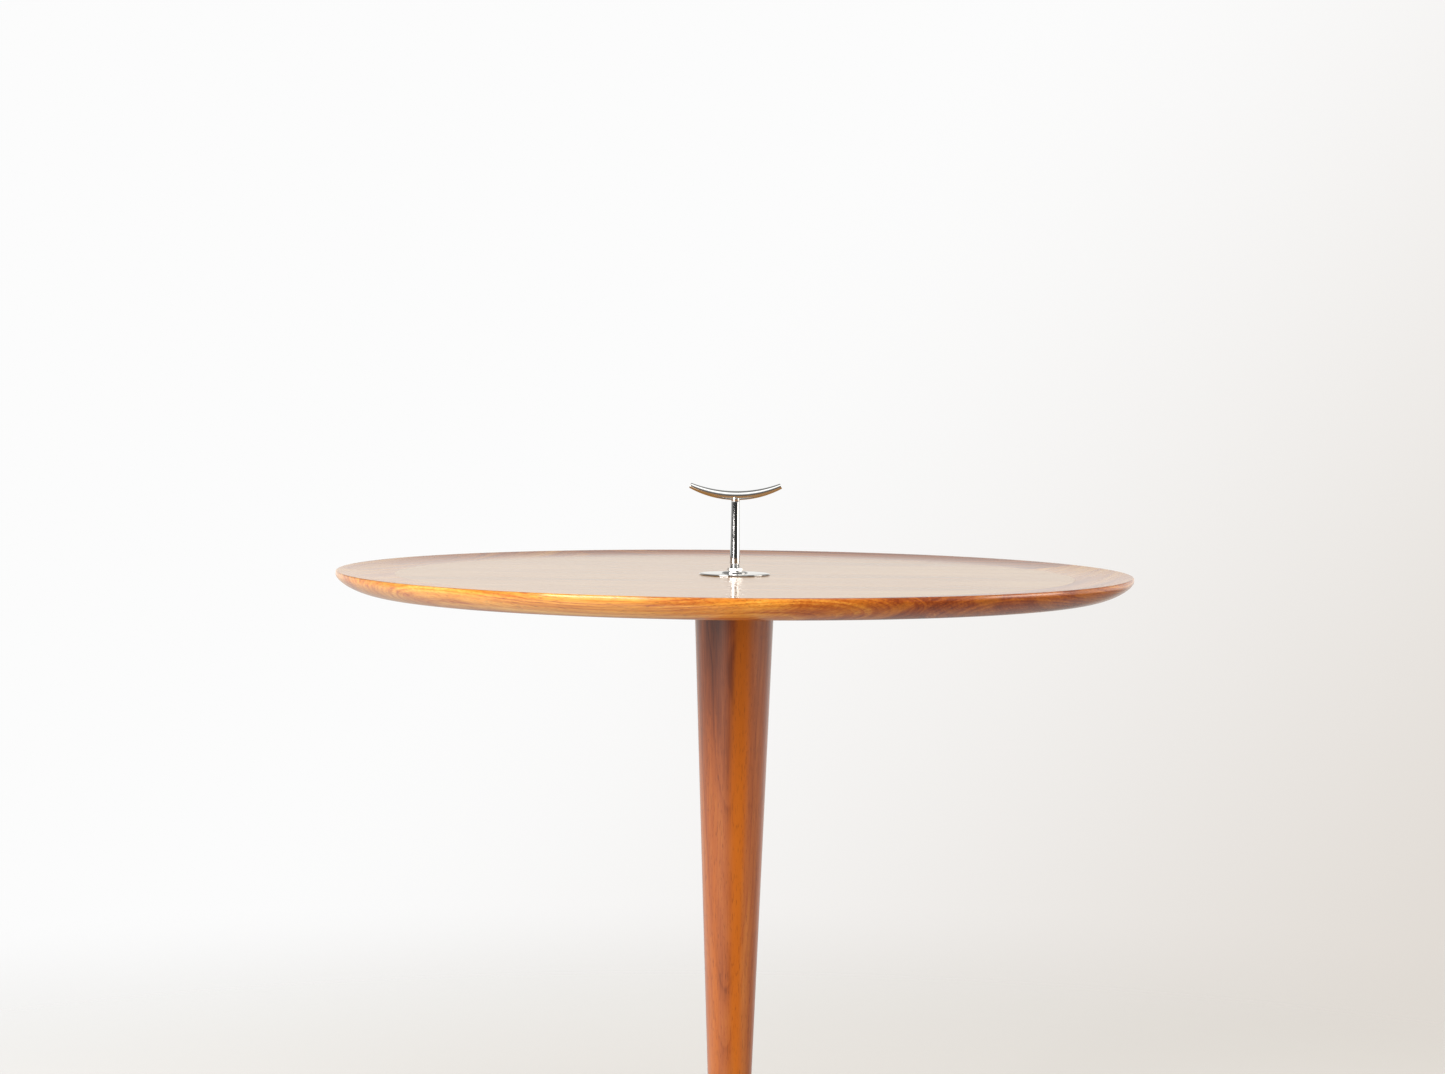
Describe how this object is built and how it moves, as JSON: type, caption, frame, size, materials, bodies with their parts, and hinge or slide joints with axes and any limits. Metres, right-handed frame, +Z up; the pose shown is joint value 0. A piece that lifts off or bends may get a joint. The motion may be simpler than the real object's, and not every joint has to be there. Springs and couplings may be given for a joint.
{
  "type": "tilt top table",
  "caption": "Round pedestal table whose dished wooden top swings upright on a hinge, freed by a turning handle in its middle; tapered column on a splayed foot.",
  "frame": {"origin": "on the floor under the column's axis", "axes": "+Z up; -Y is the front, the side the top's underside turns away from when it stands upright; +X to the right"},
  "size_m": [0.7616, 0.7616, 0.7444],
  "materials": {
    "top_veneer": "sliced walnut veneer under a clear gloss lacquer, seen pale in strong light",
    "rim_walnut": "solid walnut edge band, clear satin lacquer",
    "column_walnut": "solid walnut, clear satin lacquer",
    "backing_veneer": "plain walnut backing veneer, thin lacquer",
    "plywood": "sanded plywood",
    "beech": "planed beech",
    "chrome": "polished chrome plate",
    "zinc_steel": "bright zinc plate",
    "black_steel": "black powder coat",
    "rubber": "matt rubber",
    "nylon": "natural nylon"
  },
  "bodies": {
    "top": {"core_panel": "plywood", "face_veneer": "top_veneer", "backing_veneer": "backing_veneer", "rim_segment_1": "rim_walnut", "rim_segment_2": "rim_walnut", "rim_segment_3": "rim_walnut", "rim_segment_4": "rim_walnut", "rim_spline_1": "beech", "rim_spline_2": "beech", "rim_spline_3": "beech", "rim_spline_4": "beech", "top_plate": "black_steel", "top_plate_screw_1": "zinc_steel", "top_plate_screw_2": "zinc_steel", "top_plate_screw_3": "zinc_steel", "top_plate_screw_4": "zinc_steel", "top_plate_screw_5": "zinc_steel", "top_plate_screw_6": "zinc_steel", "guide_tube": "chrome", "lower_nut": "zinc_steel", "flange_disc": "chrome", "jam_washer": "chrome", "jam_nut": "chrome"},
    "base": {"head_plate": "black_steel", "head_plate_screw_1": "zinc_steel", "head_plate_screw_2": "zinc_steel", "head_plate_screw_3": "zinc_steel", "head_plate_screw_4": "zinc_steel", "hinge_pin_left": "zinc_steel", "hinge_pin_right": "zinc_steel", "hinge_clip_left": "zinc_steel", "hinge_clip_right": "zinc_steel", "rest_pad_left": "rubber", "rest_pad_right": "rubber", "column": "column_walnut", "hub": "column_walnut", "leg_1": "column_walnut", "leg_2": "column_walnut", "leg_3": "column_walnut", "leg_dowel_1": "beech", "leg_dowel_2": "beech", "leg_dowel_3": "beech", "glide_1": "nylon", "glide_2": "nylon", "glide_3": "nylon", "column_bolt": "zinc_steel", "base_washer": "zinc_steel", "base_nut": "zinc_steel"},
    "handle": {"handle_grip": "chrome", "handle_stem": "chrome", "lock_lug": "zinc_steel", "lug_pin": "zinc_steel", "thrust_washer": "nylon"}
  },
  "joints": [
    {"name": "top_tilt", "type": "hinge", "parent": "base", "child": "top", "pos_m": [0, -0.05, 0.6329], "axis": [1, 0, 0], "range_deg": [0, 90]},
    {"name": "handle_turn", "type": "hinge", "parent": "top", "child": "handle", "pos_m": [0, 0, 0.69], "axis": [0, 0, 1], "range_deg": [0, 90]}
  ]
}
